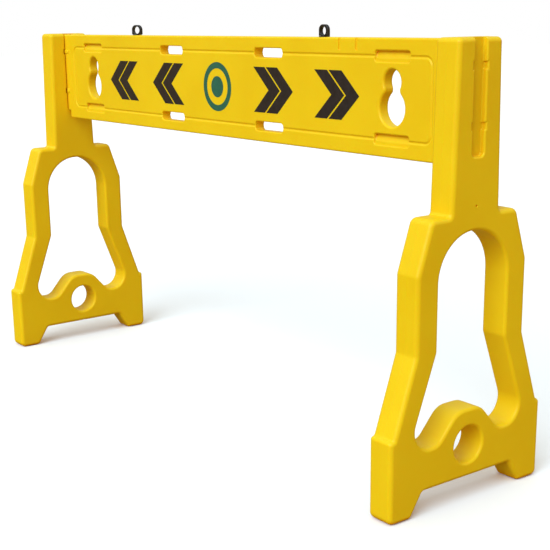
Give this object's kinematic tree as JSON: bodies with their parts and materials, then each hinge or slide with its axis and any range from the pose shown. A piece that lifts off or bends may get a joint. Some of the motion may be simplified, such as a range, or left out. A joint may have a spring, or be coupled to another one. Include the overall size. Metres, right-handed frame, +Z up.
{
  "type": "plastic panel barricade",
  "caption": "Free-standing plastic barricade: a long hollow board dropped into slots of two bell-shaped legs, with swivel eyes on its top edge.",
  "frame": {"origin": "on the floor, midway between the two legs and on the board's middle plane", "axes": "+X along the board towards the right leg as seen from the front, +Y from front to back, +Z up"},
  "size_m": [1.836, 0.468, 1.0252],
  "materials": {
    "yellow_pe": "satin blow-moulded polyethylene",
    "black_nylon": "moulded nylon",
    "black_vinyl": "printed vinyl",
    "green_vinyl": "printed vinyl"
  },
  "bodies": {
    "left_stand": {"left_leg": "yellow_pe"},
    "panel": {"board": "yellow_pe", "left_eye_bush": "black_nylon", "right_eye_bush": "black_nylon", "front_mark_1": "black_vinyl", "front_mark_2": "black_vinyl", "front_mark_3": "black_vinyl", "front_mark_4": "black_vinyl", "back_mark_1": "black_vinyl", "back_mark_2": "black_vinyl", "back_mark_3": "black_vinyl", "back_mark_4": "black_vinyl", "front_ring": "green_vinyl", "back_ring": "green_vinyl", "front_dot": "green_vinyl", "back_dot": "green_vinyl"},
    "right_stand": {"right_leg": "yellow_pe"},
    "left_swivel": {"left_eye": "black_nylon"},
    "right_swivel": {"right_eye": "black_nylon"}
  },
  "joints": [
    {"name": "board_lift", "type": "slide", "parent": "left_stand", "child": "panel", "axis": [0, 0, 1], "range_m": [0, 0.26]},
    {"name": "right_leg_release", "type": "slide", "parent": "panel", "child": "right_stand", "axis": [0, 0, -1], "range_m": [0, 0.26]},
    {"name": "left_eye_swivel", "type": "hinge", "parent": "panel", "child": "left_swivel", "pos_m": [-0.424, 0, 0.997], "axis": [0, 0, 1], "continuous": true},
    {"name": "right_eye_swivel", "type": "hinge", "parent": "panel", "child": "right_swivel", "pos_m": [0.424, 0, 0.997], "axis": [0, 0, 1], "continuous": true}
  ],
  "couplings": [
    {"joint": "right_leg_release", "follows": "board_lift", "ratio": 1}
  ]
}
